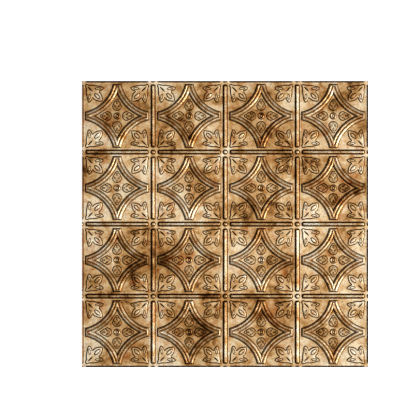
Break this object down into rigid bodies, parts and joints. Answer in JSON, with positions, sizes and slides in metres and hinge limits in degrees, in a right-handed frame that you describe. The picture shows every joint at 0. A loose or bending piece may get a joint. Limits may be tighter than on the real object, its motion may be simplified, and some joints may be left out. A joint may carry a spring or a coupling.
{
  "type": "pressed decorative ceiling panel",
  "caption": "Square thermoformed vinyl sheet pressed into a grid of star, leaf and bead ornament, antique bronze finish, laid into or fixed to a ceiling or wall.",
  "frame": {"origin": "middle of the panel's outline, on the flat back of the sheet", "axes": "+Z out of the decorated face, X and Y along the panel's edges"},
  "size_m": [0.6032, 0.6032, 0.0048],
  "materials": {
    "bronze_vinyl": "satin antique bronze foil with a mottled brown patina"
  },
  "bodies": {
    "root": {"pressed_panel": "bronze_vinyl"}
  },
  "joints": []
}
